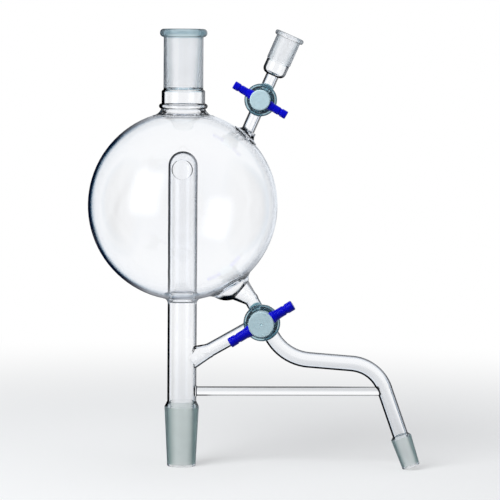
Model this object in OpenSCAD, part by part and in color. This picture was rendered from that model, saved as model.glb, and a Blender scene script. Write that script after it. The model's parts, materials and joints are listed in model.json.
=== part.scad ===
// Distillation head for a solvent still: a bulb with a closed vapour tube inside it,
// a socket on top for the condenser, a vent with its own stopcock, and a three-way
// stopcock that sends what collects in the bulb back to the pot or out to a receiver.
// Millimetres, +Z up, +Y away from the stopcock heads. The origin is on the axis of the
// lower joint, at the joint's lower end, where the head stands on a bench.

/* [Bulb] */
// Outer diameter of the bulb, a one-litre flask
bulb_d = 131; // [120:1:140]
// Wall of the bulb
bulb_wall = 2; // [1.5:0.1:3]
// Height of the bulb's centre above the end of the lower joint
bulb_z = 181.5; // [176:0.5:190]

/* [Vapour tube] */
// Outer diameter of the tube from the lower joint up into the bulb
tube_d = 20.2; // [19:0.1:21]
// Wall of that tube
tube_wall = 1.6; // [1.2:0.1:2]
// Height of the closed dome's top above the bulb's centre
dome_rise = 37.5; // [30:0.5:42]
// Diameter of the side hole that lets the vapour out under the dome
vapour_hole_d = 13.5; // [8:0.5:14]
// Distance from the dome's top down to the middle of the side hole
vapour_hole_drop = 12.5; // [10:0.5:20]
// Radius of the fused seam under the bulb, where the tube passes through it
seal_cove = 4; // [2:0.5:6]
// Radius of the fused seam inside the bulb
inner_cove = 2.6; // [1.6:0.2:4]

/* [Large taper joints] */
// Diameter of the large end of the 24/40 taper
big_taper_d = 24; // [22:0.5:26]
// Length of the ground 24/40 taper
big_taper_len = 40; // [36:1:44]
// Taper of every ground joint: length per unit of diameter
taper_ratio = 10; // [9:0.5:12]
// Wall of the ground inner joint at its clear lip
joint_wall = 1.7; // [1.4:0.1:2.2]
// Length of the clear lip below a ground inner joint
lip_len = 1.6; // [1:0.1:2.5]
// Rounding of a lip's edges
lip_round = 0.5; // [0.3:0.1:0.7]
// Outer diameter of the socket's body
big_socket_d = 27.4; // [26.8:0.1:30]
// Outer diameter of the bead round the socket's mouth
big_bead_d = 32.6; // [31:0.1:35]
// Height of that bead
big_bead_h = 5.6; // [3:0.1:6]
// Straight part of a bead between its roundings
bead_flat = 0.3; // [0.2:0.1:1]

/* [Neck] */
// Outer diameter of the clear neck between the socket and the bulb
neck_d = 30; // [28.5:0.5:32]
// Wall of the neck
neck_wall = 1.8; // [1.5:0.1:2.2]
// Height from the bulb's top to the shoulder under the socket
neck_h = 14.5; // [13:0.5:20]
// Part of the top taper's length that lies below the foot of the socket's straight body
neck_taper_overlap = 0.1; // [0:0.1:1.4]
// Rounding of the shoulder between the neck and the socket
shoulder_round = 1.7; // [1:0.1:2]
// Radius of the flare that joins the neck to the bulb
neck_cove = 6.5; // [4:0.5:8]
// Height of the weld bead above the bulb's top
neck_bead_rise = 3.1; // [2.6:0.1:5]
// Radius of the weld bead's section
neck_bead_r = 1.8; // [1:0.1:2.2]

/* [Vent arm] */
// Angle from the bulb's top round to the root of the vent arm
vent_root_angle = 41.4; // [38:0.2:48]
// Lean of the vent arm from upright
vent_tilt = 23.6; // [15:0.2:30]
// Length of the arm from the bulb to the stopcock's axis
vent_lower_len = 26.6; // [24:0.2:32]
// Length of the arm from the stopcock's axis to the foot of the cup
vent_upper_len = 18.2; // [17:0.2:24]
// Outer diameter of the vent arm
vent_d = 9; // [8:0.1:11]
// Bore of the vent arm
vent_bore = 5; // [4:0.1:6]
// Radius of the flare at the vent arm's root
vent_cove = 4.6; // [3:0.2:6]
// Outer diameter of the clear cup under the vent's socket
cup_d = 16.4; // [16:0.1:16.8]
// Length of that cup up to the ground zone
cup_len = 10.4; // [8:0.2:12]
// Wall of the cup
cup_wall = 1.4; // [1.2:0.1:1.8]
// Rounding of the cup's foot
cup_round = 4; // [3:0.2:5]

/* [Small taper joints] */
// Diameter of the large end of the 14/20 taper
small_taper_d = 14.5; // [14:0.1:15]
// Length of the ground 14/20 taper
small_taper_len = 20; // [18:0.5:22]
// Outer diameter of the small socket's body
small_socket_d = 17.2; // [16.9:0.1:18.5]
// Outer diameter of the bead round the small socket's mouth
small_bead_d = 20.7; // [20:0.1:23]
// Height of that bead
small_bead_h = 3.4; // [2.5:0.1:4]

/* [Drain] */
// Angle from the bulb's foot round to the sump
sump_angle = 31.4; // [28:0.2:36]
// Outer radius of the sump blown on the bulb
sump_r = 15.5; // [14:0.5:17]
// Depth of the sump's centre inside the bulb's outer surface
sump_inset = 6.9; // [5:0.1:9]
// Radius of the fused seam between the bulb and the sump
sump_cove = 9; // [6:0.5:12]
// Radius of the hole from the bulb into the sump
sump_hole_r = 8; // [5:0.5:10]
// Lean of the drain arm from upright, and slope of the return arm
tee_tilt = 30; // [26:0.5:34]
// Distance of the drain arm's axis from the sump's centre
drain_shift = 7.7; // [6:0.1:9]
// Length from the sump's centre to the three-way stopcock's axis, along the drain arm
drain_len = 37.9; // [36:0.1:42]
// Radius of the funnel's wide end, at the sump's centre
funnel_r = 13; // [12:0.2:14]
// Distance from the sump's centre to the funnel's narrow end, along the drain arm
drain_neck_drop = 21; // [18:0.5:24]
// Radius of the flared root of the return arm, inside the tube's wall
return_flare_r = 8.4; // [7:0.1:8.6]
// Distance of the flare's narrow end from the tube's axis, along the return arm
return_flare_len = 21; // [18:0.5:25]
// How far the flare's wide end is raised above the return arm's axis
return_flare_lift = 2.1; // [0:0.1:3]
// Outer diameter of the drain and return arms
arm_d = 9.8; // [9:0.1:11]
// Bore of those arms
arm_bore = 6.4; // [5:0.1:7]

/* [Outlet arm] */
// Outer diameter of the outlet arm
outlet_d = 10.9; // [9.6:0.1:11.4]
// Bore of the outlet arm
outlet_bore = 7.3; // [6:0.1:8]
// Straight length from the stopcock's axis to the first bend
outlet_lead = 13; // [12.6:0.2:20]
// Radius of the first bend
outlet_bend_1 = 32; // [26:1:40]
// Slope of the nearly level run below horizontal
outlet_slope = 4; // [0:0.5:8]
// Length of the nearly level run
outlet_run = 30; // [20:1:50]
// Radius of the second bend
outlet_bend_2 = 26; // [20:1:30]
// Lean of the outlet's last stretch from upright
outlet_tilt = 19.5; // [10:0.5:24]
// Diameter of the solid brace between the tube and the outlet arm
brace_d = 6.4; // [5:0.1:8]
// Height of the brace above the end of the lower joint, at the tube
brace_z = 52.4; // [49:0.2:54]
// Rise of the brace towards the outlet arm
brace_slope = 0.8; // [0:0.1:1]
// Radius of the small fillets at the brace's ends
brace_cove = 1.2; // [0.8:0.1:2]

/* [Stopcocks] */
// Running clearance between a plug and its barrel, on the radius
plug_gap = 0.05; // [0.03:0.01:0.1]
// Taper of the plugs: length per unit of diameter
plug_taper_ratio = 5; // [5:0.5:8]
// Clearance between moving plastic parts and the barrel's faces
face_gap = 0.3; // [0.2:0.05:0.5]
// Clearance of the handle in the head, on the radius
handle_gap = 0.05; // [0.02:0.01:0.1]
// Length of a handle's flare beside the head, before it narrows to the shank
handle_flare_lead = 0.6; // [0.4:0.1:1.5]
// Rounding of the rims of the barrels
rim_round = 1.2; // [0.8:0.1:1.5]
// Straight part of a rim between its roundings
rim_flat = 1; // [0.5:0.1:1.5]
// Step from a rim's edge in to the barrel behind it
rim_step = 1.4; // [1:0.1:1.8]
// Wall of the barrels behind the rim
barrel_wall = 2.4; // [2:0.1:3]
// Step from the plug's narrow end down to its threaded end, on the radius
stud_step = 0.9; // [0.6:0.1:1.2]
// Thickness of the retaining washers
washer_t = 1; // [0.8:0.1:1.5]
// How far washers and nuts reach past the barrel's wall
nut_margin = 0.2; // [0.1:0.1:1]
// Rounding of the nuts' edges
nut_round = 0.6; // [0.3:0.1:1]
// Radius of the flutes round the nuts
flute_r = 0.9; // [0.6:0.1:1]
// Depth of those flutes
flute_depth = 0.55; // [0.3:0.05:0.7]
// Rounding of the edges of the plugs' heads
head_round = 0.8; // [0.4:0.1:1.2]
// Thickness of the O-rings
ring_t = 1.8; // [1.5:0.1:2.5]
// Clearance between a retaining part and the plug's threaded end, on the radius
stud_gap = 0.1; // [0.05:0.05:0.2]

/* [Vent stopcock] */
// Length of the glass barrel
vent_barrel_len = 30; // [26:1:36]
// Outer diameter of the barrel's front rim
vent_rim_d = 22.3; // [20:0.1:24]
// Diameter of the plug's head
vent_head_d = 14; // [13:0.1:15]
// Length of the head in front of the barrel
vent_head_len = 9; // [8.6:0.2:12]
// Bore through the plug
vent_plug_bore = 4; // [2:0.5:4.5]
// Length of the handle, end to end
vent_handle_len = 41.3; // [36:0.1:46]
// Diameter of the handle's ends
vent_grip_d = 5.6; // [5:0.1:6.2]
// Turn of the handle from level, as it stands
vent_handle_turn = -30; // [-90:1:90]

/* [Three-way stopcock] */
// Length of the glass barrel
tee_barrel_len = 36; // [32:1:42]
// Outer diameter of the barrel's front rim
tee_rim_d = 25.3; // [24:0.1:28]
// Diameter of the plug's head
tee_head_d = 17.6; // [16:0.1:18]
// Length of the head in front of the barrel
tee_head_len = 11; // [10.4:0.2:14]
// Bores in the plug
tee_plug_bore = 4; // [3:0.5:5]
// Length of the handle, end to end
tee_handle_len = 50.7; // [44:0.1:56]
// Diameter of the handle's ends
tee_grip_d = 7; // [6:0.1:8]
// Turn of the handle from level, as it stands
tee_handle_turn = 32; // [-90:1:90]
// Radius of the ball that marks the centre of the head
mark_r = 0.8; // [0.5:0.1:1.2]
// Height of that ball's centre above the head
mark_rise = 0.2; // [0:0.1:0.4]

/* [Hidden] */
$fn = 96;
eps = 0.01;
// How far a straight piece reaches into the bend that follows it, and how much fatter a bend is.
overlap = 0.8;
bend_swell = 0.05;
// How far a cut runs past the face that it opens.
past = 1;
// Turn of the start line of round surfaces, clear of the arms.
seam_turn = 125;
// How much fatter a fused foot, ball or cone is than the arm that it joins.
foot_swell = 0.4;
ball_swell = 0.3;
cone_swell = 0.2;
// How far a fillet's edges lie inside the surfaces that it joins, so that they end in them.
fillet_inset = 0.05;
seam_inset = 0.15;
// A handle's details, as shares of the diameter of its ends.
shank_share = 0.43;
cap_share = 0.8;
groove_share = 0.16;
edge_share = 0.1;
collar_share = 0.485;
flare_share = 0.58;
flare_len_share = 0.9;
flutes = 12;

glass_colour = [0.80, 0.90, 0.91, 0.45];
ptfe_colour = [0.86, 0.89, 0.89];
handle_colour = [0.05, 0.07, 0.80];
rubber_colour = [0.08, 0.08, 0.09];
nut_colour = [0.93, 0.93, 0.91];

bulb_r = bulb_d / 2;
tube_r = tube_d / 2;
tube_bore_r = tube_r - tube_wall;
arm_r = arm_d / 2;
arm_bore_r = arm_bore / 2;
outlet_r = outlet_d / 2;
neck_r = neck_d / 2;
dome_top = bulb_z + dome_rise;

// A point at a distance from another, at an angle from +X in the upright plane.
function step(p, angle, distance) = p + distance * [cos(angle), sin(angle)];
// Height, from a ball's centre, of the centre of a cove between the ball and an upright tube of radius r.
function cove_height(r, ball, cove) = sqrt(pow(ball + cove, 2) - pow(r + cove, 2));

// Lower joint
big_small_r = big_taper_d / 2 - big_taper_len / taper_ratio / 2;
joint_top = lip_len + big_taper_len;

// Neck and top socket
neck_foot = bulb_z + bulb_r;
shoulder_z = neck_foot + neck_h - shoulder_round;
socket_foot = shoulder_z + shoulder_round;
socket_top = socket_foot + big_taper_len + shoulder_round - neck_taper_overlap;
socket_r = big_socket_d / 2;

// Vent arm, from its root on the bulb to the mouth of its socket
vent_heading = 90 - vent_tilt;
vent_root = [bulb_r * sin(vent_root_angle), bulb_z + bulb_r * cos(vent_root_angle)];
vent_axis = step(vent_root, vent_heading, vent_lower_len);
vent_mouth = vent_upper_len + cup_len + small_taper_len;
vent_small_r = small_taper_d / 2 - small_taper_len / taper_ratio / 2;

// Sump, drain arm and three-way stopcock
sump_c = [(bulb_r - sump_inset) * sin(sump_angle), bulb_z - (bulb_r - sump_inset) * cos(sump_angle)];
drain_heading = tee_tilt - 90;
drain_foot = step(sump_c, tee_tilt, drain_shift);
tee_axis = step(drain_foot, drain_heading, drain_len);
return_root = [0, tee_axis.y - tee_axis.x * tan(tee_tilt)];
return_neck = step(return_root, tee_tilt, return_flare_len);
return_foot = [tube_r / 2, return_root.y + tube_r / 2 * tan(tee_tilt) + return_flare_lift];
drain_neck = step(drain_foot, drain_heading, drain_neck_drop);

// Outlet arm: lead, first bend, run, second bend, last stretch and joint
outlet_turn_1 = 90 - tee_tilt - outlet_slope;
outlet_turn_2 = 90 - outlet_tilt - outlet_slope;
outlet_down = outlet_tilt - 90;
outlet_p1 = step(tee_axis, drain_heading, outlet_lead);
outlet_p2 = bend_end(outlet_p1, drain_heading, outlet_turn_1, outlet_bend_1);
outlet_p3 = step(outlet_p2, -outlet_slope, outlet_run);
outlet_p4 = bend_end(outlet_p3, -outlet_slope, -outlet_turn_2, outlet_bend_2);
outlet_lip_r = vent_small_r;
outlet_end_z = lip_round * (1 - cos(outlet_tilt)) + (outlet_lip_r - lip_round) * sin(outlet_tilt);
outlet_last = (outlet_p4.y - outlet_end_z) / cos(outlet_tilt);
outlet_end = step(outlet_p4, outlet_down, outlet_last);
outlet_joint_len = lip_len + small_taper_len;
// where the brace's axis meets the axis of the outlet's last stretch
brace_start = [tube_r, brace_z];
brace_len = (outlet_p4.x - tube_r + (outlet_p4.y - brace_z) * tan(outlet_tilt))
    / (cos(brace_slope) + sin(brace_slope) * tan(outlet_tilt));

// Where a bend ends that starts at p with a heading and turns by an angle, left if positive.
function bend_end(p, heading, turn, radius) =
    p + sign(turn) * radius * [
        sin(heading + turn) - sin(heading),
        cos(heading) - cos(heading + turn)
    ];

// Sizes of one stopcock, worked out from its head, barrel and handle.
function mouth_r(head_d) = head_d / 2 + plug_gap;
function barrel_foot_r(head_d, len) = mouth_r(head_d) - len / plug_taper_ratio / 2;
function stud_r(head_d, len) = barrel_foot_r(head_d, len) - stud_step;
function nut_r(head_d, len) = barrel_foot_r(head_d, len) + barrel_wall + nut_margin;
function bar_r(grip_d) = grip_d * shank_share;

// Puts children drawn in the XY plane upright, their +Z towards the front.
module upright() {
    rotate([90, 0, 0]) children();
}

// Puts children drawn along +Z on a point of the upright plane, along a heading.
module along(p, heading) {
    upright() translate([p.x, p.y, 0]) rotate([0, 0, heading]) rotate([0, 90, 0]) children();
}

// Puts children drawn along +Z on a stopcock's axis, their +Z towards the front.
module on_stopcock(p) {
    upright() translate([p.x, p.y, 0]) children();
}

// A round solid about the upright axis, from its half section, its start line turned clear of the arms.
module column() {
    rotate([0, 0, seam_turn]) rotate_extrude() children();
}

// A ball on the upright plane, its start line turned clear of the arms.
module ball(p, r) {
    translate([p.x, 0, p.y]) rotate([0, 0, seam_turn]) sphere(r = r);
}

module straight(p, heading, len, r) {
    along(p, heading) cylinder(h = len, r = r);
}

module bend(p, heading, turn, radius, r) {
    side = sign(turn);
    centre = p + side * radius * [-sin(heading), cos(heading)];
    start = side > 0 ? heading - 90 : heading + 90 + turn;
    upright() translate([centre.x, centre.y, 0]) rotate([0, 0, start])
        rotate_extrude(angle = abs(turn)) translate([radius, 0]) circle(r = r);
}

// A flare at the foot of a tube of radius r that stands on z = 0, its foot let into the wall below.
module flare(r, cove, sunk) {
    rotate_extrude() difference() {
        translate([0, -sunk]) square([r + cove, cove + sunk]);
        translate([r + cove, cove]) circle(r = cove);
    }
}

// Half of a round-cornered rectangle, from the axis out.
module rounded_half(r, z0, z1, corner) {
    translate([0, z0]) square([r - corner, z1 - z0]);
    translate([0, z0 + corner]) square([r, z1 - z0 - 2 * corner]);
    for (z = [z0 + corner, z1 - corner]) translate([r - corner, z]) circle(r = corner);
}

// The outer half section of everything that is round about the upright axis.
module column_section() {
    neck_cove_z = bulb_z + cove_height(neck_r, bulb_r, neck_cove);
    seal_cove_z = bulb_z - cove_height(tube_r, bulb_r, seal_cove);
    // clear lip, ground taper and its shoulder
    rounded_half(big_small_r, 0, lip_len * 2, lip_round);
    polygon([
        [0, lip_len], [big_small_r, lip_len], [big_taper_d / 2, joint_top],
        [tube_r, joint_top + 2 * (big_taper_d / 2 - tube_r)], [0, joint_top + 2 * (big_taper_d / 2 - tube_r)]
    ]);
    translate([0, joint_top]) square([tube_r, bulb_z - bulb_r - joint_top + bulb_wall]);
    // seam under the bulb
    difference() {
        translate([0, seal_cove_z]) square([
            tube_r + seal_cove * bulb_r / (bulb_r + seal_cove),
            bulb_z - bulb_r - seal_cove_z + seal_cove
        ]);
        translate([tube_r + seal_cove, seal_cove_z]) circle(r = seal_cove);
    }
    translate([0, bulb_z]) intersection() {
        circle(r = bulb_r, $fn = 192);
        translate([0, -bulb_r]) square([bulb_r, 2 * bulb_r]);
    }
    // flare, weld bead, neck and shoulder
    difference() {
        translate([0, neck_foot - neck_cove]) square([
            neck_r + neck_cove * bulb_r / (bulb_r + neck_cove),
            neck_cove_z - neck_foot + neck_cove
        ]);
        translate([neck_r + neck_cove, neck_cove_z]) circle(r = neck_cove);
    }
    translate([neck_r, neck_foot + neck_bead_rise]) circle(r = neck_bead_r);
    rounded_half(neck_r, neck_foot - neck_cove, socket_foot, shoulder_round);
    // socket and its bead
    translate([0, shoulder_z]) square([socket_r, socket_top - shoulder_z - big_bead_h / 2]);
    rounded_half(big_bead_d / 2, socket_top - big_bead_h, socket_top, (big_bead_h - bead_flat) / 2);
}

// The half section of the hollow from the bulb up through the neck and the socket's taper.
module upper_hollow_section() {
    neck_bore_r = neck_r - neck_wall;
    taper_foot_r = big_taper_d / 2 - big_taper_len / taper_ratio / 2;
    taper_foot = socket_top - big_taper_len;
    difference() {
        translate([0, bulb_z]) intersection() {
            circle(r = bulb_r - bulb_wall, $fn = 192);
            translate([0, -bulb_r]) square([bulb_r, 2 * bulb_r]);
        }
        vapour_tube_section(tube_r);
        seal_cove_inside();
    }
    translate([0, neck_foot - 2 * bulb_wall]) square([neck_bore_r, shoulder_z - neck_foot + 2 * bulb_wall]);
    polygon([
        [0, shoulder_z - eps], [neck_bore_r, shoulder_z - eps], [taper_foot_r, taper_foot],
        [big_taper_d / 2, socket_top], [big_taper_d / 2, socket_top + past], [0, socket_top + past]
    ]);
}

// Half section of the fused seam inside the bulb, between its floor and the vapour tube.
module seal_cove_inside() {
    reach = bulb_r - bulb_wall - inner_cove;
    cove_x = tube_r + inner_cove;
    cove_z = bulb_z - sqrt(pow(reach, 2) - pow(cove_x, 2));
    difference() {
        translate([0, bulb_z - bulb_r]) square([cove_x, cove_z - bulb_z + bulb_r]);
        translate([cove_x, cove_z]) circle(r = inner_cove);
    }
}

// Half section of the upright tube with its closed round top, at a radius from the axis.
module vapour_tube_section(r) {
    dome_c = dome_top - tube_r;
    translate([0, joint_top]) square([r, dome_c - joint_top]);
    translate([0, dome_c]) intersection() {
        circle(r = r);
        square([r, r]);
    }
}

// The half section of the bore from the lower joint up to the dome.
module lower_bore_section() {
    vapour_tube_section(tube_bore_r);
    translate([0, -past]) square([big_small_r - joint_wall, joint_top + 2 * past]);
}

// The glass of one stopcock: a tapered barrel with a round front rim.
module barrel(head_d, rim_d, len) {
    front = len / 2;
    foot_r = barrel_foot_r(head_d, len) + barrel_wall;
    rim_t = 2 * rim_round + rim_flat;
    rotate_extrude() {
        polygon([
            [0, -front], [foot_r, -front], [rim_d / 2 - rim_step, front - rim_t / 2], [0, front - rim_t / 2]
        ]);
        rounded_half(rim_d / 2, front - rim_t, front, rim_round);
    }
}

// The tapered hole in a barrel, opened in a small round flare at its mouth.
module barrel_bore(head_d, len) {
    front = len / 2;
    r_front = mouth_r(head_d);
    r_back = barrel_foot_r(head_d, len);
    slope = past / plug_taper_ratio / 2;
    rotate_extrude() {
        polygon([
            [0, -front - past], [r_back - slope, -front - past],
            [r_front + slope, front + past], [0, front + past]
        ]);
        difference() {
            translate([0, front - rim_round]) square([r_front + rim_round, rim_round + past]);
            translate([r_front + rim_round, front - rim_round]) circle(r = rim_round);
        }
    }
}

// The outer half section of the vent arm from its root to the mouth of its socket.
module vent_section() {
    square([vent_d / 2, vent_lower_len + vent_upper_len + cup_round]);
    translate([0, vent_lower_len]) {
        rounded_half(cup_d / 2, vent_upper_len, vent_upper_len + cup_len + cup_round, cup_round);
        translate([0, vent_upper_len + cup_len])
            square([small_socket_d / 2, small_taper_len - small_bead_h / 2]);
        rounded_half(small_bead_d / 2, vent_mouth - small_bead_h, vent_mouth, (small_bead_h - bead_flat) / 2);
    }
}

// The half section of the vent arm's bore, cup and tapered socket.
module vent_hollow_section() {
    cup_bore_r = cup_d / 2 - cup_wall;
    translate([0, -3 * bulb_wall])
        square([vent_bore / 2, vent_lower_len + vent_upper_len + cup_round + 3 * bulb_wall]);
    translate([0, vent_lower_len]) {
        rounded_half(cup_bore_r, vent_upper_len + cup_wall, vent_upper_len + cup_len, cup_round - cup_wall);
        polygon([
            [0, vent_upper_len + cup_round], [cup_bore_r, vent_upper_len + cup_round],
            [cup_bore_r, vent_upper_len + cup_len - cup_wall], [vent_small_r, vent_upper_len + cup_len],
            [small_taper_d / 2, vent_mouth], [small_taper_d / 2, vent_mouth + past], [0, vent_mouth + past]
        ]);
    }
}

// The outlet's last stretch and its ground inner joint, from the lip up.
module outlet_joint_section() {
    rounded_half(outlet_lip_r, 0, 2 * lip_len, lip_round);
    polygon([
        [0, lip_len], [outlet_lip_r, lip_len], [small_taper_d / 2, outlet_joint_len],
        [outlet_r, outlet_joint_len + small_taper_d / 2 - outlet_r],
        [0, outlet_joint_len + small_taper_d / 2 - outlet_r]
    ]);
    square([outlet_r, outlet_last + overlap]);
}

// Half section of the fused seam between the bulb and the sump, along the line from centre to centre.
module sump_seam_section() {
    apart = bulb_r - sump_inset;
    from_bulb = bulb_r + sump_cove;
    from_sump = sump_r + sump_cove;
    cove_z = (pow(from_bulb, 2) - pow(from_sump, 2) + pow(apart, 2)) / (2 * apart);
    cove = [sqrt(pow(from_bulb, 2) - pow(cove_z, 2)), cove_z];
    on_bulb = cove * (bulb_r - bulb_wall / 2) / from_bulb;
    on_sump = [0, apart] + (cove - [0, apart]) * (sump_r - bulb_wall / 2) / from_sump;
    difference() {
        polygon([[0, on_bulb.y], on_bulb, cove, on_sump, [0, on_sump.y]]);
        translate(cove) circle(r = sump_cove + seam_inset);
    }
}

// The outlet arm's bends and the straight pieces between them, with a radius.
module outlet_route(r) {
    straight(tee_axis, drain_heading, outlet_lead + overlap, r);
    bend(outlet_p1, drain_heading, outlet_turn_1, outlet_bend_1, r + bend_swell);
    straight(step(outlet_p2, -outlet_slope, -overlap), -outlet_slope, outlet_run + 2 * overlap, r);
    bend(outlet_p3, -outlet_slope, -outlet_turn_2, outlet_bend_2, r + bend_swell);
}

// A leaning funnel from a wide mouth down to the neck where an arm starts, wall in from the outside.
module funnel(mouth, neck, r, wall) {
    way = neck - mouth;
    ball(neck, arm_r + ball_swell - wall);
    along(mouth, atan2(way.y, way.x)) rotate([0, 0, seam_turn])
        cylinder(h = norm(way), r1 = r - wall, r2 = arm_r + cone_swell - wall);
}

module glass_outside() {
    column() column_section();
    // vent arm with its flared root
    along(vent_root, vent_heading) rotate_extrude() vent_section();
    along(vent_root, 90 - vent_root_angle) flare(vent_d / 2 + foot_swell, vent_cove, 1.5 * bulb_wall);
    on_stopcock(vent_axis) barrel(vent_head_d, vent_rim_d, vent_barrel_len);
    // sump, drain arm and return arm
    ball(sump_c, sump_r);
    along([0, bulb_z], sump_angle - 90) rotate([0, 0, seam_turn]) rotate_extrude() sump_seam_section();
    funnel(sump_c, drain_neck, funnel_r, 0);
    straight(drain_neck, drain_heading, drain_len - drain_neck_drop, arm_r);
    funnel(return_foot, return_neck, return_flare_r, 0);
    straight(return_neck, tee_tilt, norm(tee_axis - return_neck), arm_r);
    on_stopcock(tee_axis) barrel(tee_head_d, tee_rim_d, tee_barrel_len);
    // outlet arm and its inner joint
    outlet_route(outlet_r);
    along(outlet_end, outlet_down + 180) rotate_extrude() outlet_joint_section();
    // solid brace
    straight(step(brace_start, brace_slope, -tube_wall / 2), brace_slope, brace_len, brace_d / 2);
    along(brace_start, brace_slope) flare(brace_d / 2 - fillet_inset, brace_cove, tube_wall / 2);
}

module glass_inside() {
    column() upper_hollow_section();
    column() lower_bore_section();
    // side hole under the dome
    translate([0, 0, dome_top - vapour_hole_drop]) rotate([90, 0, 0])
        cylinder(h = tube_d, r = vapour_hole_d / 2);
    along(vent_root, vent_heading) rotate_extrude() vent_hollow_section();
    on_stopcock(vent_axis) barrel_bore(vent_head_d, vent_barrel_len);
    // sump, its hole from the bulb, and the arms
    difference() {
        union() {
            ball(sump_c, sump_r - bulb_wall);
            funnel(sump_c, drain_neck, funnel_r, arm_r - arm_bore_r);
        }
        ball([0, bulb_z], bulb_r);
    }
    straight(step(sump_c, sump_angle - 90, -bulb_wall), sump_angle - 90,
        sump_inset + bulb_wall + past, sump_hole_r);
    straight(drain_neck, drain_heading, drain_len - drain_neck_drop, arm_bore_r);
    funnel(return_foot, return_neck, return_flare_r, arm_r - arm_bore_r);
    straight(return_neck, tee_tilt, norm(tee_axis - return_neck), arm_bore_r);
    on_stopcock(tee_axis) barrel_bore(tee_head_d, tee_barrel_len);
    outlet_route(outlet_bore / 2);
    along(step(outlet_end, outlet_down, past), outlet_down + 180) rotate_extrude() {
        square([outlet_lip_r - joint_wall, outlet_joint_len + past]);
        square([outlet_bore / 2, outlet_last + past + overlap]);
    }
}

module glass_body() {
    color(glass_colour) difference() {
        glass_outside();
        glass_inside();
    }
}

// A tapered plug with its head, cross hole for the handle, and threaded end.
module plug_blank(head_d, head_len, len, grip_d) {
    front = len / 2;
    r_front = mouth_r(head_d) - plug_gap;
    r_back = barrel_foot_r(head_d, len) - plug_gap;
    stud = washer_t + ring_t + grip_d + 3 * face_gap;
    difference() {
        rotate_extrude() {
            polygon([[0, -front], [r_back, -front], [r_front, front], [0, front]]);
            translate([0, front - eps]) square([head_d / 2, head_len / 2]);
            rounded_half(head_d / 2, front, front + head_len, head_round);
            translate([0, -front - stud]) square([stud_r(head_d, len), stud + eps]);
        }
        translate([-head_d, 0, front + head_len / 2]) rotate([0, 90, 0])
            cylinder(h = 2 * head_d, r = bar_r(grip_d) + handle_gap);
    }
}

module vent_plug() {
    color(ptfe_colour) on_stopcock(vent_axis) rotate([0, 0, vent_handle_turn]) difference() {
        plug_blank(vent_head_d, vent_head_len, vent_barrel_len, vent_grip_d);
        rotate([0, 90, 0]) cylinder(h = 2 * vent_head_d, r = vent_plug_bore / 2, center = true);
    }
}

module tee_plug() {
    color(ptfe_colour) on_stopcock(tee_axis) rotate([0, 0, tee_handle_turn]) difference() {
        plug_blank(tee_head_d, tee_head_len, tee_barrel_len, tee_grip_d);
        rotate([0, 90, 0]) cylinder(h = 2 * tee_head_d, r = tee_plug_bore / 2, center = true);
        rotate([-90, 0, 0]) cylinder(h = tee_head_d, r = tee_plug_bore / 2);
        // centre mark of the turned head
        translate([0, 0, tee_barrel_len / 2 + tee_head_len + mark_rise]) sphere(r = mark_r);
    }
}

// A bar handle: grooved ends, a slimmer shank and a flare up to the head on both sides.
module bar_handle(head_d, head_len, len, grip_d, handle_len) {
    r_bar = bar_r(grip_d);
    r_flare = grip_d * flare_share;
    cap = grip_d * cap_share;
    groove = grip_d * groove_share;
    edge = grip_d * edge_share;
    half = handle_len / 2;
    flare_end = head_d / 2 + handle_flare_lead;
    translate([0, 0, len / 2 + head_len / 2]) rotate([0, 90, 0]) {
        cylinder(h = 2 * flare_end, r = r_bar, center = true);
        for (side = [0, 1]) mirror([0, 0, side]) difference() {
            rotate_extrude() {
                square([r_bar, half - cap / 2]);
                rounded_half(grip_d / 2, half - cap, half, edge);
                rounded_half(grip_d * collar_share, half - 2 * cap - groove, half - cap - groove, edge);
                polygon([
                    [0, head_d / 4], [r_flare, head_d / 4], [r_flare, flare_end],
                    [r_bar, flare_end + grip_d * flare_len_share], [0, flare_end + grip_d * flare_len_share]
                ]);
            }
            head_clearance(head_d, r_bar);
        }
    }
}

// The room that the round head takes in a handle's flares, with the bar itself, along +Z, left whole.
module head_clearance(head_d, r_bar) {
    difference() {
        rotate([0, 90, 0]) cylinder(h = 2 * head_d, r = head_d / 2 + handle_gap, center = true);
        cylinder(h = 2 * head_d, r = r_bar, center = true);
    }
}

module vent_handle() {
    color(handle_colour) on_stopcock(vent_axis) rotate([0, 0, vent_handle_turn])
        bar_handle(vent_head_d, vent_head_len, vent_barrel_len, vent_grip_d, vent_handle_len);
}

module tee_handle() {
    color(handle_colour) on_stopcock(tee_axis) rotate([0, 0, tee_handle_turn])
        bar_handle(tee_head_d, tee_head_len, tee_barrel_len, tee_grip_d, tee_handle_len);
}

// A flat washer behind the barrel.
module washer(head_d, len) {
    translate([0, 0, -len / 2 - face_gap - washer_t]) difference() {
        cylinder(h = washer_t, r = nut_r(head_d, len));
        translate([0, 0, -past])
            cylinder(h = washer_t + 2 * past, r = stud_r(head_d, len) + stud_gap);
    }
}

// A rubber ring between the washer and the nut.
module o_ring(head_d, len) {
    r_mid = stud_r(head_d, len) + stud_gap + ring_t / 2;
    translate([0, 0, -len / 2 - face_gap - washer_t - ring_t / 2])
        rotate_extrude() translate([r_mid, 0]) circle(r = ring_t / 2);
}

// A fluted nut on the threaded end.
module nut(head_d, len, grip_d) {
    r = nut_r(head_d, len);
    top = -len / 2 - face_gap - washer_t - ring_t;
    translate([0, 0, top - grip_d]) difference() {
        rotate_extrude() rounded_half(r, 0, grip_d, nut_round);
        translate([0, 0, -past]) cylinder(h = grip_d + 2 * past, r = stud_r(head_d, len) + stud_gap);
        for (i = [1:flutes]) rotate([0, 0, 360 / flutes * i])
            translate([r + flute_r - flute_depth, 0, -past])
                cylinder(h = grip_d + 2 * past, r = flute_r, $fn = 24);
    }
}

module vent_washer() {
    color(ptfe_colour) on_stopcock(vent_axis) washer(vent_head_d, vent_barrel_len);
}

module vent_o_ring() {
    color(rubber_colour) on_stopcock(vent_axis) o_ring(vent_head_d, vent_barrel_len);
}

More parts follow.
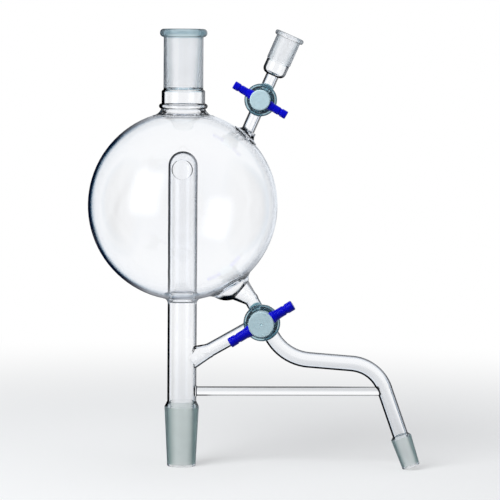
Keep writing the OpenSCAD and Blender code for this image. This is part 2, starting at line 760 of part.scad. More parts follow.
module vent_nut() {
    color(nut_colour) on_stopcock(vent_axis) nut(vent_head_d, vent_barrel_len, vent_grip_d);
}

module tee_washer() {
    color(ptfe_colour) on_stopcock(tee_axis) washer(tee_head_d, tee_barrel_len);
}

module tee_o_ring() {
    color(rubber_colour) on_stopcock(tee_axis) o_ring(tee_head_d, tee_barrel_len);
}

module tee_nut() {
    color(nut_colour) on_stopcock(tee_axis) nut(tee_head_d, tee_barrel_len, tee_grip_d);
}

glass_body();
vent_plug();
vent_handle();
vent_washer();
vent_o_ring();
vent_nut();
tee_plug();
tee_handle();
tee_washer();
tee_o_ring();
tee_nut();
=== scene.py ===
"""Looks and studio for a glass distillation head with two stopcocks.

Laid out as an add-on and run as a script. Places and lengths are in metres, in the part's own
frame: Z runs up the vapour tube's axis, X points towards the outlet arm, and the handles face -Y.
"""
import json
from functools import partial, reduce
from math import cos, pi, radians, sin

import bpy
from bpy.props import FloatProperty, FloatVectorProperty, PointerProperty
from mathutils import Matrix, Vector

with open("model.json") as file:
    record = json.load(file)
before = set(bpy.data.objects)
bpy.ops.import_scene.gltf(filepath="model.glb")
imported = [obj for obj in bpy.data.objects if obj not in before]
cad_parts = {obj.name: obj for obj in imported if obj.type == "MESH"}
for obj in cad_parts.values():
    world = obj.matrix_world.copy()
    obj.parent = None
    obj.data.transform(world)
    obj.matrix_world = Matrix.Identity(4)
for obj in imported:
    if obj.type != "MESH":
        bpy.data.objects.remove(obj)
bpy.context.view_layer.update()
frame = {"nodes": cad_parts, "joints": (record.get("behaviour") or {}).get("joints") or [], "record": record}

bl_info = {
    "name": "Distillation head",
    "version": (1, 0, 0),
    "blender": (4, 5, 0),
    "location": "View3D > Sidebar > Distillation head",
    "description": "Glass, plastic and studio for a distillation head with two stopcocks",
    "category": "Object",
}

UP = Vector((0, 0, 1))
STOPCOCK_AXIS = Vector((0, -1, 0))

# The bulb, the distance from its surface over which the painted dark edges set in, and how far
# under that surface its inside begins.
BULB_CENTRE = (0.0, 0.0, 0.1815)
BULB_RADIUS = 0.0655
EDGE_ONSET = (0.002, 0.004)
INSIDE_DEPTH = 0.003

# Where the arms take over from the upright tube, along X, and the box round the brace.
ARMS_FROM = (0.016, 0.022)
BRACE_SPAN = (0.0106, 0.1366)
BRACE_HEIGHTS = (0.0479, 0.0569)

# Radius round a joint's axis that holds all of its glass, and how far its zone reaches past each
# end.
JOINT_REACH = 0.02
OVER_MOUTH, PAST_ZONE = 0.001, 0.0005

# Radii: a socket's ground surface lies inside its own, and a cone's outside. The small cone is
# the one beyond this X.
BIG_SOCKET, SMALL_SOCKET = 0.0124, 0.0076
BIG_CONE, SMALL_CONE = 0.0092, 0.0052
SMALL_CONE_FROM = 0.1

# The bead of the large socket: its height, its inner radius and how softly its glass gives way.
BEAD_HEIGHT = 0.0062
BEAD_BORE = 0.0123
THICK_SOFTNESS = 0.0003

# Where the painted shade streaks lie: within reach of the vent's root and between two spheres about
# the bulb's centre, and between two heights at the neck's foot.
VENT_ROOT = (0.0433, 0.0, 0.2306)
ROOT_REACH = (0.0105, 0.0125)
ROOT_SHELL = (BULB_RADIUS + 0.0012, BULB_RADIUS + 0.0044)
NECK_FOOT = (0.2440, 0.2515)


def record_mount(name):
    """Place and outward axis of a joint or fitting in the part's record."""
    mount = next(m for m in frame["record"]["mounts"] if m["name"] == name)
    return Vector(mount["pos_m"]), Vector(mount["axis"])


def record_joint(name):
    """Place of a stopcock's axis in the part's record."""
    return Vector(next(j for j in frame["joints"] if j["name"] == name)["pos_m"])


# ---------------------------------------------------------------- settings

def length(name, text, metres):
    return FloatProperty(
        name=name, description=text, default=metres, min=0, unit="LENGTH", precision=5)


def angle(name, text, degrees):
    return FloatProperty(name=name, description=text, default=radians(degrees), subtype="ANGLE")


def share(name, text, value):
    return FloatProperty(
        name=name, description=text, default=value, min=0, max=1, subtype="FACTOR")


def colour(name, text, rgb):
    return FloatVectorProperty(
        name=name, description=text, default=rgb, min=0, max=1, size=3, subtype="COLOR")


class GlassSettings(bpy.types.PropertyGroup):
    """Clear glass, its dark edges and its ground joints."""
    ior: FloatProperty(
        name="Index", description="Refractive index of the glass", default=1.47, min=1.3, max=1.8)
    clear: colour("Clear", "Glass seen face on", (0.990, 0.993, 0.998))
    # Painted shade: colour laid over glass edges, standing in for the dark surroundings that glass bends and
    # mirrors.
    edge: colour("Edge", "Tubes and rods seen along their surface", (0.02, 0.055, 0.085))
    edge_start: share(
        "Edge start", "How far a tube's surface turns from the eye before its edge darkens", 0.43)
    arm_edge_start: share("Arm edge start", "The same for the thinner arms", 0.32)
    brace_edge_start: share("Brace edge start", "The same for the solid brace", 0.30)
    edge_reach: share(
        "Edge reach", "How much further the surface turns before its edge is darkest", 0.10)
    # Painted light and shade: edges drawn fainter towards the arms, on an arm's upper side and the brace's
    # lower side.
    light_side: share(
        "Light side", "How much fainter an edge is on the side towards the arms", 0.3)
    top_side: share(
        "Top side", "How much fainter an arm's edge is above, and the brace's below", 0.45)
    # Painted shade: a dark line drawn at the edge of an arm's bore.
    bore_edge: share("Bore edge", "Depth of the dark line at the edge of an arm's bore", 0.8)
    pale_rim: share("Pale rim", "How much fainter edges are on joints, bead and barrels", 0.55)
    # Painted shade: dark streaks drawn at the vent's root and the neck's foot.
    streaks: share(
        "Painted streaks", "Depth of the dark streaks at the vent's root and the neck's foot", 0.85)
    # The thick glass's own teal, darkened further as painted shade over the bead and the barrels.
    thick: colour(
        "Thick glass", "Bead of the large socket and barrels of the stopcocks",
        (0.385, 0.555, 0.61))
    thick_roughness: share("Thick roughness", "Roughness of the bead and the barrels", 0.03)
    thick_body: share(
        "Thick body", "How much the bead and the barrels scatter instead of passing light", 0.03)
    socket: colour("Ground socket", "Ground inner surface of the sockets", (0.965, 0.98, 1.0))
    # Painted shade: ground sockets are drawn darker where seen along their surface.
    socket_edge: colour(
        "Ground socket edge", "Ground sockets seen along their surface", (0.46, 0.64, 0.71))
    cone: colour("Ground cone", "Ground outer surface of the large cone", (0.74, 0.81, 0.785))
    small_cone: colour(
        "Small ground cone", "The outlet's thinner cone, which lets more light through",
        (0.84, 0.895, 0.88))
    # Painted shade: ground cones are drawn darker where seen along their surface.
    cone_edge: colour(
        "Ground cone edge", "Ground cones seen along their surface", (0.22, 0.335, 0.31))
    ground_roughness: share("Ground roughness", "Roughness of the ground joints", 0.40)
    socket_body: share(
        "Socket body", "How much a ground socket scatters instead of passing light", 0.07)
    cone_body: share(
        "Cone body", "How much a ground cone scatters instead of passing light", 0.14)
    vent_barrel: length(
        "Vent barrel", "Radius of the vent stopcock's barrel with its rim", 0.0116)
    tee_barrel: length(
        "Lower barrel", "Radius of the lower stopcock's barrel with its rim", 0.0131)
    big_length: length("Large ground zone", "Length of the large joints' ground zones", 0.040)
    small_length: length("Small ground zone", "Length of the small joints' ground zones", 0.020)
    lip: length("Clear lip", "Length of the clear lip below an inner joint", 0.0016)
    ripple: length("Ripple", "Depth of the glass's gentle ripples", 0.00016)
    ripple_size: length("Ripple size", "Distance between the ripples", 0.022)


class PlasticSettings(bpy.types.PropertyGroup):
    """Plugs, handles, rings and nuts."""
    plug: colour("Plug", "White plastic of the plugs and washers", (0.595, 0.785, 0.845))
    handle: colour("Handle", "Blue plastic of the handles", (0.002, 0.003, 0.66))
    rubber: colour("Rubber", "Rubber of the rings", (0.018, 0.018, 0.02))
    nut: colour("Nut", "White plastic of the nuts", (0.72, 0.74, 0.74))
    turning: length(
        "Turning marks", "Distance between the turning marks on a plug's head", 0.00035)


class StudioSettings(bpy.types.PropertyGroup):
    """Floor, lamps, backdrop and camera."""
    azimuth: angle("Azimuth", "Turn of the camera round the part", 3.0)
    elevation: angle("Elevation", "Height of the camera above level", 4.62)
    roll: angle("Roll", "Turn of the camera about its own line of sight", 0.45)
    distance: length("Distance", "Distance of the camera from its aim", 1.6)
    aim: FloatVectorProperty(
        name="Aim", description="Point that the camera looks at",
        default=(0.04676, 0.00012, 0.15123), size=3, subtype="TRANSLATION", unit="LENGTH",
        precision=5)
    lens: FloatProperty(
        name="Lens", description="Focal length in millimetres", default=166.65, min=20, max=400)
    floor: colour("Floor", "Floor under the part", (0.88, 0.90, 0.91))
    bounce: colour("Bounce", "Floor as it lights the part from below", (0.20, 0.21, 0.22))
    floor_glow: share(
        "Floor glow", "How much of the backdrop's white shows on the floor under the part", 0.5)
    floor_near: length("Near floor", "Radius of the floor that shows its own colour", 0.22)
    floor_far: length("Far floor", "Radius at which the floor has become the backdrop", 0.75)
    room: colour("Room", "Light that the room gives to solid surfaces", (0.13, 0.14, 0.16))
    wall: colour(
        "Wall", "Pale walls beside and behind the part, as glass mirrors them",
        (0.84, 0.88, 0.94))
    front_wall: colour(
        "Front wall", "Wall behind the camera, as glass mirrors it", (0.58, 0.64, 0.76))
    panel: colour(
        "Panel", "Dark panels beside the line of sight, as glass mirrors them",
        (0.001, 0.004, 0.018))
    panel_rim: colour("Panel rim", "Outer rim of the dark panels", (0.10, 0.25, 0.40))
    panel_reach: angle(
        "Panel reach", "How far a dark panel reaches from the line of sight", 36.0)
    low_panel: share(
        "Low panel", "Depth of the fainter dark half-round below the line of sight", 0.6)
    panel_views: FloatProperty(
        name="Panel views", description="Number of sides that have a panel",
        default=4, min=1, max=12)
    window_turn: angle(
        "Window turn", "Turn of the soft window to the left of the camera", 47.0)
    window_rise: angle("Window rise", "Height of the soft window above level", 17.0)
    window_glow: FloatProperty(
        name="Window glow", description="Brightness of the soft window", default=1.9, min=0)


# ---------------------------------------------------------------- nodes

class Tree:
    """Builds one node tree. An input is given as a plain value or as another node's output."""

    def __init__(self, owner):
        owner.use_nodes = True
        self.nodes, self.links = owner.node_tree.nodes, owner.node_tree.links
        self.nodes.clear()

    def add(self, kind, inputs=None, **settings):
        node = self.nodes.new(kind)
        for key, value in settings.items():
            setattr(node, key, value)
        for key, value in (inputs or {}).items():
            if isinstance(value, bpy.types.NodeSocket):
                self.links.new(value, node.inputs[key])
            else:
                node.inputs[key].default_value = value
        return node

    def maths(self, operation, *values):
        return self.add(
            "ShaderNodeMath", dict(enumerate(values)), operation=operation).outputs[0]

    def times(self, *values):
        return reduce(partial(self.maths, "MULTIPLY"), values)

    def largest(self, *values):
        return reduce(partial(self.maths, "MAXIMUM"), values)

    def smooth(self, value, start, end, low=0.0, high=1.0):
        """Rises smoothly from low to high as value goes from start to end."""
        return self.add("ShaderNodeMapRange", {
            "Value": value, "From Min": start, "From Max": end, "To Min": low, "To Max": high,
        }, interpolation_type="SMOOTHSTEP").outputs[0]

    def between(self, value, start, end, soft=0.00012):
        """1 from start to end, with soft ends."""
        return self.times(self.smooth(value, start - soft, start + soft),
                          self.smooth(value, end - soft, end + soft, 1.0, 0.0))

    def mix(self, share_of, a, b):
        """Colour between a and b."""
        a, b = (c if isinstance(c, bpy.types.NodeSocket) else (*c, 1) for c in (a, b))
        return self.add("ShaderNodeMix", {0: share_of, 6: a, 7: b}, data_type="RGBA").outputs[2]

    def mix_values(self, share_of, a, b):
        """Number between a and b."""
        return self.add("ShaderNodeMix", {0: share_of, 2: a, 3: b}).outputs[0]

    def vectors(self, operation, *values):
        """Number that an operation on vectors gives."""
        return self.add("ShaderNodeVectorMath", dict(enumerate(values)),
                        operation=operation).outputs["Value"]

    def parts(self, vector):
        """The x, y and z of a vector."""
        return self.add("ShaderNodeSeparateXYZ", {0: vector}).outputs

    def span(self, a, b):
        """Length of a flat vector whose parts are a and b."""
        return self.vectors("LENGTH", self.add("ShaderNodeCombineXYZ", {0: a, 1: b}).outputs[0])

    def place(self):
        return self.add("ShaderNodeTexCoord").outputs["Object"]

    def distance(self, spot):
        return self.vectors("DISTANCE", self.place(), spot)

    def local(self, origin, axis):
        """Along-axis height and distance from the axis, for a joint at origin."""
        turn = UP.rotation_difference(axis).to_euler()
        at = self.add("ShaderNodeMapping", {
            "Vector": self.place(), "Location": origin, "Rotation": turn,
        }, vector_type="TEXTURE").outputs[0]
        x, y, z = self.parts(at)
        return z, self.span(x, y)

    def noise(self, size, detail=2.0):
        return self.add("ShaderNodeTexNoise", {
            "Vector": self.place(), "Scale": 1 / size, "Detail": detail}).outputs[0]

    def bump(self, height, depth, strength=1.0, normal=None):
        inputs = {"Height": height, "Distance": depth, "Strength": strength}
        if normal:
            inputs["Normal"] = normal
        return self.add("ShaderNodeBump", inputs).outputs[0]

    def principled(self, inputs):
        shader = self.add("ShaderNodeBsdfPrincipled", inputs)
        self.add("ShaderNodeOutputMaterial", {"Surface": shader.outputs[0]})


def material(name):
    made = bpy.data.materials.new(name)
    return made, Tree(made)


def dress(material_made, *nodes):
    """Gives CAD pieces their finish, on their own material slots."""
    for name in nodes:
        for slot in frame["nodes"][name].material_slots:
            slot.material = material_made


# ---------------------------------------------------------------- glass

# Facing runs from 0, where a surface is seen face on, to 1, where it is seen along itself. Over
# these ranges of it the foot's painted streaks, the bores' painted lines and the ground joints'
# painted edge shade set in.
STREAKS_FACING, BORES_FACING = (0.25, 0.6), (0.6, 0.8)
SOCKETS_FACING, CONES_FACING = (0.12, 0.85), (0.0, 0.45)

# Over these ranges of a surface's direction its painted edge shade grows fainter, as painted light: towards
# the arms and upward.
LIGHT_SIDE, TOP_SIDE = (0.2, 0.9), (0.2, 0.8)

# Painted shade streaks and the faint clouding of ground surfaces: size, the range of the noise that
# shows and, for the clouding, the shades that it runs between.
STREAK_SIZE, STREAK_NOISE = 0.0028, (0.36, 0.52)
CLOUD_SIZE, CLOUD_NOISE, CLOUD_SHADES = 0.009, (0.35, 0.65), (0.96, 1.0)

# Grain of the ground surfaces: size, depth, strength and how far it spreads their roughness.
GRAIN_SIZE, GRAIN_DEPTH, GRAIN_STRENGTH, GRAIN_ROUGHNESS = 0.0006, 0.00004, 0.6, 0.14


def ground_joints(tree, settings, joints, outside):
    """Where these joints are ground, and all the glass along the length of each."""
    ground, length_of = [], []
    for mount, zone, limit in joints:
        origin, outward = record_mount(mount)
        height, across = tree.local(origin, -outward)
        start = settings.lip if outside else 0.0
        side = tree.maths("GREATER_THAN" if outside else "LESS_THAN", across, limit)
        near = tree.maths("LESS_THAN", across, JOINT_REACH)
        ground.append(tree.times(tree.between(height, start, start + zone), side, near))
        length_of.append(tree.times(
            tree.between(height, -OVER_MOUTH, start + zone + PAST_ZONE), near))
    return tree.largest(*ground), tree.largest(*length_of)


def thick_glass(tree, settings):
    """1 on the bead of the large socket and on the stopcocks' barrels."""
    origin, outward = record_mount("condenser_joint")
    height, across = tree.local(origin, -outward)
    zones = [tree.times(tree.between(height, -OVER_MOUTH, BEAD_HEIGHT, THICK_SOFTNESS),
                        tree.between(across, BEAD_BORE, JOINT_REACH))]
    for joint, radius in (("vent_turn", settings.vent_barrel), ("tee_turn", settings.tee_barrel)):
        _, across = tree.local(record_joint(joint), STOPCOCK_AXIS)
        zones.append(tree.smooth(
            across, radius - THICK_SOFTNESS, radius + THICK_SOFTNESS, 1.0, 0.0))
    return tree.largest(*zones)


def painted_shade_streaks(tree, settings, facing):
    """Painted shade: dark streaks drawn over the glass at the vent's root and the neck's foot."""
    at_root = tree.times(
        tree.smooth(tree.distance(VENT_ROOT), *ROOT_REACH, 1.0, 0.0),
        tree.between(tree.distance(BULB_CENTRE), *ROOT_SHELL, soft=0.0005))
    _, _, z = tree.parts(tree.place())
    at_foot = tree.times(
        tree.between(z, *NECK_FOOT, soft=0.0010), tree.smooth(facing, *STREAKS_FACING))
    marks = tree.smooth(tree.noise(STREAK_SIZE), *STREAK_NOISE, 0.0, settings.streaks)
    return tree.times(tree.largest(at_root, at_foot), marks)


def painted_edge_shade(tree, settings, facing):
    """Painted shade: how dark the edges of tubes and rods, the arms' bores and the painted streaks are
    drawn.

    The dark coat stands in for the dark surroundings that real glass bends and mirrors at its edges.
    The bulb's thin wall keeps clear edges. As painted light and shade, edges are fainter on the side
    towards the arms, on the upper side of an arm and on the lower side of the brace.
    """
    x, _, z = tree.parts(tree.place())
    on_arms = tree.smooth(x, *ARMS_FROM)
    on_brace = tree.times(tree.between(x, *BRACE_SPAN), tree.between(z, *BRACE_HEIGHTS))
    from_centre = tree.distance(BULB_CENTRE)
    off_bulb = tree.smooth(
        tree.maths("ABSOLUTE", tree.maths("SUBTRACT", from_centre, BULB_RADIUS)), *EDGE_ONSET)

    tube_start = tree.mix_values(on_arms, settings.edge_start, settings.arm_edge_start)
    start = tree.mix_values(on_brace, tube_start, settings.brace_edge_start)
    turned_away = tree.smooth(facing, start, tree.maths("ADD", start, settings.edge_reach))

    # Painted light and shade: the edge is drawn fainter on faces turned towards the arms and, on an arm,
    # upward (on the brace, downward).
    towards_arms, _, upward = tree.parts(tree.add("ShaderNodeTexCoord").outputs["Normal"])
    upward = tree.times(upward, tree.maths("MULTIPLY_ADD", on_brace, -2.0, 1.0))
    light_side = tree.smooth(towards_arms, *LIGHT_SIDE, 1.0, 1.0 - settings.light_side)
    top_side = tree.smooth(upward, *TOP_SIDE, 1.0, 1.0 - settings.top_side)
    side = tree.times(light_side, tree.mix_values(on_arms, 1.0, top_side))

    # a face inside the bulb is seen through the two faces of the bulb's wall
    faces_before = tree.add("ShaderNodeLightPath").outputs["Transmission Depth"]
    in_bulb = tree.maths("LESS_THAN", from_centre, BULB_RADIUS - INSIDE_DEPTH)
    outer_face = tree.maths("COMPARE", faces_before, tree.times(in_bulb, 2.0), 0.5)
    bore_face = tree.maths("COMPARE", faces_before, 1.0, 0.5)

    edges = tree.times(turned_away, side, off_bulb)
    outer = tree.times(tree.largest(edges, painted_shade_streaks(tree, settings, facing)), outer_face)
    # Painted shade: a dark line drawn where an arm's bore is seen along itself.
    bores = tree.times(
        tree.smooth(facing, *BORES_FACING), bore_face, on_arms, settings.bore_edge)
    return tree.largest(outer, bores)


def glass_material(settings):
    """Clear glass with painted dark edges, tinted teal and darkened as painted shade where it is thick, and
    matt where it is ground.
    """
    made, tree = material("joined_glass")
    sockets, in_sockets = ground_joints(tree, settings, (
        ("condenser_joint", settings.big_length, BIG_SOCKET),
        ("vent_joint", settings.small_length, SMALL_SOCKET)), outside=False)
    cones, in_cones = ground_joints(tree, settings, (
        ("pot_joint", settings.big_length, BIG_CONE),
        ("outlet_joint", settings.small_length, SMALL_CONE)), outside=True)
    thick = thick_glass(tree, settings)
    plain = tree.maths("SUBTRACT", 1.0, tree.largest(sockets, cones))

    facing = tree.add("ShaderNodeLayerWeight", {"Blend": 0.5}).outputs["Facing"]
    pale_rim = tree.maths(
        "MULTIPLY_ADD", tree.largest(in_sockets, in_cones, thick), -settings.pale_rim, 1.0)
    edge = tree.times(painted_edge_shade(tree, settings, facing), plain, pale_rim)

    x, _, _ = tree.parts(tree.place())
    on_outlet = tree.maths("GREATER_THAN", x, SMALL_CONE_FROM)
    # The bead and barrels take the thick glass's teal, darkened as painted shade.
    clear = tree.mix(thick, settings.clear, settings.thick)
    # Painted shade: the ground joints darken towards where they are seen along their surface.
    socket = tree.mix(
        tree.smooth(facing, *SOCKETS_FACING), settings.socket, settings.socket_edge)
    cone = tree.mix(tree.smooth(facing, *CONES_FACING),
                    tree.mix(on_outlet, settings.cone, settings.small_cone), settings.cone_edge)
    cloud = tree.smooth(tree.noise(CLOUD_SIZE), *CLOUD_NOISE, *CLOUD_SHADES)
    socket, cone = (
        tree.add("ShaderNodeVectorMath", {0: tone, "Scale": cloud}, operation="SCALE").outputs[0]
        for tone in (socket, cone))

    grain = tree.noise(GRAIN_SIZE, 3.0)
    ground_rough = tree.maths("MULTIPLY_ADD", grain, GRAIN_ROUGHNESS,
                              settings.ground_roughness - GRAIN_ROUGHNESS / 2)
    rough = tree.mix_values(plain, ground_rough, tree.times(thick, settings.thick_roughness))
    body = tree.maths("MULTIPLY_ADD", sockets, settings.socket_body, tree.maths(
        "MULTIPLY_ADD", cones, settings.cone_body, tree.times(thick, settings.thick_body)))
    ripple = tree.bump(tree.noise(settings.ripple_size, 1.0), settings.ripple)
    on_ground = tree.maths("MULTIPLY_ADD", plain, -GRAIN_STRENGTH, GRAIN_STRENGTH)

    # The coat bends no light: it only lays the painted dark edge, a painted shade, over the glass.
    tree.principled({
        "Base Color": tree.mix(cones, tree.mix(sockets, clear, socket), cone),
        "Roughness": rough, "Transmission Weight": tree.maths("SUBTRACT", 1.0, body),
        "IOR": settings.ior, "Normal": tree.bump(grain, GRAIN_DEPTH, on_ground, ripple),
        "Coat Weight": edge, "Coat IOR": 1.0, "Coat Tint": (*settings.edge, 1)})
    return made


class HEAD_OT_glass(bpy.types.Operator):
    """Gives the fused glass body its clear glass and ground joints"""
    bl_idname = "head.glass"
    bl_label = "Glass body"

    def execute(self, context):
        dress(glass_material(context.scene.head_glass), "glass_body")
        return {"FINISHED"}


# ---------------------------------------------------------------- plastics

# Patterns in the plastics: size of each, the range of the noise that shows, and its shades.
MOTTLE_SIZE, FLOW_SIZE, PATTERN_NOISE = 0.003, 0.006, (0.3, 0.7)
MOTTLE_SHADES, FLOW_SHADES = (0.95, 1.03), (0.9, 1.0)

# Uneven gloss of turned and of moulded plastic: size and how much roughness it adds at most.
TURNED_GLOSS, MOULDED_GLOSS = (0.004, 0.15), (0.0015, 0.12)

# Turning marks and mould grain: depth of the marks, size of the grain, strength of both.
MARK_DEPTH, MOULD_GRAIN_SIZE, RELIEF = 0.00001, 0.0004, 0.5


def tones(rgb, dark, light):
    """Two shades of a colour, for a faint pattern."""
    return (tuple(min(1, level * part) for part in rgb) for level in (dark, light))


def turned_plastic(name, rgb, centre, spacing, roughness):
    """Waxy white plastic with fine turning marks round a stopcock's axis."""
    made, tree = material(name)
    _, across = tree.local(centre, STOPCOCK_AXIS)
    marks = tree.maths("SINE", tree.times(across, 2 * pi / spacing))
    mottle = tree.smooth(tree.noise(MOTTLE_SIZE, 3.0), *PATTERN_NOISE)
    gloss_size, added = TURNED_GLOSS
    tree.principled({
        "Base Color": tree.mix(mottle, *tones(rgb, *MOTTLE_SHADES)),
        "Roughness": tree.maths("MULTIPLY_ADD", tree.noise(gloss_size, 1.0), added, roughness),
        "IOR": 1.38, "Subsurface Weight": 0.15, "Subsurface Radius": (1, 1, 1),
        "Subsurface Scale": 0.0015, "Normal": tree.bump(marks, MARK_DEPTH, RELIEF)})
    return made


def moulded_plastic(name, rgb, roughness, grain_depth, gloss=0.5):
    """Moulded plastic or rubber: faint flow marks and a fine mould grain."""
    made, tree = material(name)
    flow = tree.smooth(tree.noise(FLOW_SIZE), *PATTERN_NOISE)
    gloss_size, added = MOULDED_GLOSS
    tree.principled({
        "Base Color": tree.mix(flow, *tones(rgb, *FLOW_SHADES)),
        "Roughness": tree.maths("MULTIPLY_ADD", tree.noise(gloss_size, 3.0), added, roughness),
        "IOR": 1.5, "Specular IOR Level": gloss,
        "Normal": tree.bump(tree.noise(MOULD_GRAIN_SIZE), grain_depth, RELIEF)})
    return made


class HEAD_OT_plugs(bpy.types.Operator):
    """Gives both plugs and their washers a turned white plastic"""
    bl_idname = "head.plugs"
    bl_label = "Plugs and washers"

    def execute(self, context):
        settings = context.scene.head_plastic
        for side in ("vent", "tee"):
            made = turned_plastic(side + "_turned_plastic", settings.plug,
                                  record_joint(side + "_turn"), settings.turning, roughness=0.38)
            dress(made, side + "_plug", side + "_washer")
        return {"FINISHED"}


class HEAD_OT_handles(bpy.types.Operator):
    """Gives both handles their blue plastic"""
    bl_idname = "head.handles"
    bl_label = "Handles"

    def execute(self, context):
        made = moulded_plastic("blue_plastic_moulded", context.scene.head_plastic.handle,
                               roughness=0.16, grain_depth=0.00001, gloss=0.12)
        dress(made, "vent_handle", "tee_handle")
        return {"FINISHED"}


class HEAD_OT_seals(bpy.types.Operator):
    """Gives the rubber rings and the nuts behind the barrels their finish"""
    bl_idname = "head.seals"
    bl_label = "Rings and nuts"

    def execute(self, context):
        settings = context.scene.head_plastic
        rubber = moulded_plastic(
            "ring_rubber", settings.rubber, roughness=0.5, grain_depth=0.00002)
        dress(rubber, "vent_o_ring", "tee_o_ring")
        nut = moulded_plastic("nut_plastic", settings.nut, roughness=0.35, grain_depth=0.00001)
        dress(nut, "vent_nut", "tee_nut")
        return {"FINISHED"}


# ---------------------------------------------------------------- studio

FLOOR_CENTRE, FLOOR_RADIUS = (0.05, 0, 0), 3.0
CAMERA_SENSOR = 36  # millimetres across
CAMERA_RANGE = (0.05, 20)

# Place, aim, width, height and radiance of each soft lamp.
LAMPS = {
    "key_softbox": ((-0.62, -0.80, 0.95), (0, 0, 0.17), 0.85, 1.0, 6.6),
    "fill_softbox": ((1.25, -0.65, 0.55), (0.05, 0, 0.15), 0.7, 0.9, 1.1),
    "top_softbox": ((0.05, 0.1, 1.5), (0.05, 0, 0.15), 1.1, 1.1, 0.8),
}

# Dark panels in the mirrored room: how softly the left and the low one set in round the line of
# sight, the blur of a panel's straight side, the fade of its round side, where its colour turns
# to that of its rim as shares of its reach, and how deep it is on the camera's side of the part.
LEFT_ONSET, LOW_ONSET = (0.1, 0.8), (0.3, 0.9)
PANEL_BLUR, PANEL_FADE = radians(2.5), radians(9)
RIM_SHARES = (0.7, 1.1)
FRONT_DEPTH = 0.6

# The dim spot in the middle of the panels, and the Y of a direction that looks beyond the part.
SPOT_FADE, SPOT_DEPTH = (radians(3), radians(7)), 0.4
BEYOND_FROM = (-0.7, 0.0)

# The soft window: the cosines to its middle from which it may show, its half width and height as
# tangents, and where its edges fade, next to those.
WINDOW_AHEAD, WINDOW_HALVES, WINDOW_FADE = (0.1, 0.2), (0.40, 0.50), (-0.22, 0.1)


def view_axes(settings):
    """The camera's right, up and forward directions."""
    turn, rise, roll = settings.azimuth, settings.elevation, settings.roll
    forward = Vector((-sin(turn) * cos(rise), cos(turn) * cos(rise), -sin(rise)))
    right = forward.cross(UP).normalized()
    up = right.cross(forward)
    return right * cos(roll) + up * sin(roll), up * cos(roll) - right * sin(roll), forward


def facing_matrix(place, towards):
    """A place and turn whose -Z looks at a point."""
    turn = (Vector(towards) - Vector(place)).to_track_quat("-Z", "Y").to_matrix().to_4x4()
    return Matrix.Translation(place) @ turn


def mirrored_room(tree, towards, settings):
    """Pale walls with dark half-round panels beside the line of sight from each side.

    The darkest panel lies to the left of the line of sight, a fainter one below it, and a small
    dim spot in its middle.
    """
    x, y, z = tree.parts(towards)
    views_share = settings.panel_views / (2 * pi)
    turn = tree.maths("ADD", tree.maths("ARCTAN2", x, y), settings.azimuth)
    part = tree.maths("FRACT", tree.maths("MULTIPLY_ADD", turn, views_share, 0.5))
    right = tree.times(tree.maths("SUBTRACT", part, 0.5), 1 / views_share)
    above = tree.maths("ADD", tree.maths("ARCSINE", z), settings.elevation)
    off = tree.span(right, above)
    reach = settings.panel_reach

    def half_round(side, start, end):
        """1 on the half-round panel that lies towards one side of the line of sight."""
        nearness = tree.maths("DIVIDE", tree.maths("MULTIPLY_ADD", side, -1.0, PANEL_BLUR),
                              tree.maths("ADD", off, PANEL_BLUR))
        return tree.times(tree.smooth(nearness, start, end),
                          tree.smooth(off, reach, reach + PANEL_FADE, 1.0, 0.0))

    dark = tree.largest(
        half_round(right, *LEFT_ONSET),
        tree.times(half_round(above, *LOW_ONSET), settings.low_panel),
        tree.smooth(off, *SPOT_FADE, SPOT_DEPTH, 0.0))
    beyond = tree.smooth(y, *BEYOND_FROM)
    wall = tree.mix(beyond, settings.front_wall, settings.wall)
    rim_start, rim_end = (reach * part_of for part_of in RIM_SHARES)
    panel = tree.mix(tree.smooth(off, rim_start, rim_end), settings.panel, settings.panel_rim)
    depth = tree.maths("MULTIPLY_ADD", beyond, 1 - FRONT_DEPTH, FRONT_DEPTH)
    return tree.mix(tree.times(dark, depth), wall, panel)


def soft_window(tree, towards, settings):
    """1 inside a soft-edged window that shines from the left of the camera, 0 outside."""
    turn, rise = settings.azimuth - settings.window_turn, settings.window_rise
    middle = Vector((sin(turn) * cos(rise), -cos(turn) * cos(rise), sin(rise)))
    across = middle.cross(UP).normalized()
    ahead = tree.vectors("DOT_PRODUCT", towards, middle)
    inside = tree.smooth(ahead, *WINDOW_AHEAD)
    for axis, half in zip((across, across.cross(middle)), WINDOW_HALVES):
        along = tree.vectors("DOT_PRODUCT", towards, axis)
        offset = tree.maths("ABSOLUTE", tree.maths("DIVIDE", along, ahead))
        start, end = (half + fade for fade in WINDOW_FADE)
        inside = tree.times(inside, tree.smooth(offset, start, end, 1.0, 0.0))
    return inside


def backdrop(settings):
    """White behind the part, a dim room for solid surfaces, and the room that glass mirrors."""
    world = bpy.data.worlds.new("studio")
    bpy.context.scene.world = world
    tree = Tree(world)
    path = tree.add("ShaderNodeLightPath").outputs
    mirrored = tree.maths("MINIMUM", path["Glossy Depth"], 1.0)
    straight = tree.times(path["Is Transmission Ray"], tree.maths("SUBTRACT", 1.0, mirrored))
    white = tree.largest(path["Is Camera Ray"], straight)
    towards = tree.add("ShaderNodeTexCoord").outputs["Generated"]
    glow = tree.times(soft_window(tree, towards, settings), settings.window_glow)
    glow = tree.add("ShaderNodeCombineXYZ", {0: glow, 1: glow, 2: glow}).outputs[0]
    bright = tree.add("ShaderNodeVectorMath", {
        0: mirrored_room(tree, towards, settings), 1: glow}, operation="ADD").outputs[0]
    room = tree.mix(mirrored, settings.room, bright)
    light = tree.add("ShaderNodeBackground", {
        "Color": tree.mix(white, room, (1.0, 1.0, 1.0)), "Strength": 1.0})
    tree.add("ShaderNodeOutputWorld", {"Surface": light.outputs[0]})


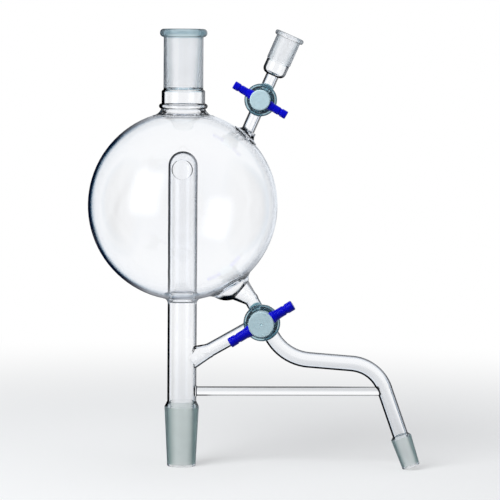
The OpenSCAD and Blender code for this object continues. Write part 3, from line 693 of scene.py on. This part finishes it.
def floor_material(settings):
    """A pale floor that turns into the backdrop away from the part."""
    made, tree = material("studio_floor")
    x, y, _ = tree.parts(tree.place())
    path = tree.add("ShaderNodeLightPath").outputs
    seen = tree.largest(path["Is Camera Ray"], path["Is Transmission Ray"])
    away = tree.times(tree.smooth(
        tree.span(x, y), settings.floor_near, settings.floor_far, settings.floor_glow), seen)
    matt = tree.add("ShaderNodeBsdfDiffuse", {"Color": tree.mix(
        path["Is Diffuse Ray"], settings.floor, settings.bounce)})
    white = tree.add("ShaderNodeEmission", {"Color": (1, 1, 1, 1), "Strength": 1.0})
    both = tree.add("ShaderNodeMixShader", {0: away, 1: matt.outputs[0], 2: white.outputs[0]})
    # mirrors look through the floor at the room
    open_below = tree.add("ShaderNodeBsdfTransparent")
    mirrored = tree.maths("MINIMUM", path["Glossy Depth"], 1.0)
    whole = tree.add("ShaderNodeMixShader", {
        0: mirrored, 1: both.outputs[0], 2: open_below.outputs[0]})
    tree.add("ShaderNodeOutputMaterial", {"Surface": whole.outputs[0]})
    return made


def softbox(name, place, towards, width, height, radiance):
    """A soft lamp; glass mirrors the backdrop's soft window instead of the lamp itself."""
    bpy.ops.object.light_add(type="AREA")
    lamp = bpy.context.object
    lamp.name = name
    lamp.matrix_world = facing_matrix(place, towards)
    lamp.data.shape = "RECTANGLE"
    lamp.data.size, lamp.data.size_y = width, height
    lamp.data.energy = radiance * width * height * pi
    lamp.visible_camera = lamp.visible_glossy = lamp.visible_transmission = False


class HEAD_OT_studio(bpy.types.Operator):
    """Adds the floor, the backdrop, the lamps and the camera"""
    bl_idname = "head.studio"
    bl_label = "Studio"

    def execute(self, context):
        settings = context.scene.head_studio
        bpy.ops.object.select_all(action="DESELECT")
        bpy.ops.mesh.primitive_circle_add(
            vertices=96, radius=FLOOR_RADIUS, fill_type="NGON", location=FLOOR_CENTRE)
        floor = context.object
        floor.name = "studio_floor"
        bpy.ops.object.transform_apply(location=True)
        floor.data.materials.append(floor_material(settings))
        backdrop(settings)
        for name, lamp in LAMPS.items():
            softbox(name, *lamp)
        bpy.ops.object.camera_add()
        camera = context.object
        camera.name = "studio_camera"
        right, up, forward = view_axes(settings)
        turn = Matrix((right, up, -forward)).transposed().to_4x4()
        spot = Vector(settings.aim) - settings.distance * forward
        camera.matrix_world = Matrix.Translation(spot) @ turn
        camera.data.lens = settings.lens
        camera.data.sensor_width = CAMERA_SENSOR
        camera.data.clip_start, camera.data.clip_end = CAMERA_RANGE
        context.scene.camera = camera
        context.scene.view_settings.view_transform = "Standard"
        return {"FINISHED"}


# ---------------------------------------------------------------- add-on

PIECES = (HEAD_OT_glass, HEAD_OT_plugs, HEAD_OT_handles, HEAD_OT_seals, HEAD_OT_studio)


class HEAD_PT_panel(bpy.types.Panel):
    """Lists the pieces and the sizes and colours that can be changed"""
    bl_idname = "HEAD_PT_panel"
    bl_label = "Distillation head"
    bl_space_type = "VIEW_3D"
    bl_region_type = "UI"
    bl_category = "Distillation head"

    def draw(self, context):
        for piece in PIECES:
            self.layout.operator(piece.bl_idname)
        for group in SETTINGS:
            settings = getattr(context.scene, group)
            for key in type(settings).__annotations__:
                self.layout.prop(settings, key)


SETTINGS = {
    "head_glass": GlassSettings, "head_plastic": PlasticSettings, "head_studio": StudioSettings}
CLASSES = (*SETTINGS.values(), *PIECES, HEAD_PT_panel)


def register():
    for made in CLASSES:
        bpy.utils.register_class(made)
    for key, group in SETTINGS.items():
        setattr(bpy.types.Scene, key, PointerProperty(type=group))


def unregister():
    for key in SETTINGS:
        delattr(bpy.types.Scene, key)
    for made in reversed(CLASSES):
        bpy.utils.unregister_class(made)


def main():
    register()
    for piece in PIECES:
        group, name = piece.bl_idname.split(".")
        getattr(getattr(bpy.ops, group), name)()


if __name__ == "__main__":
    main()
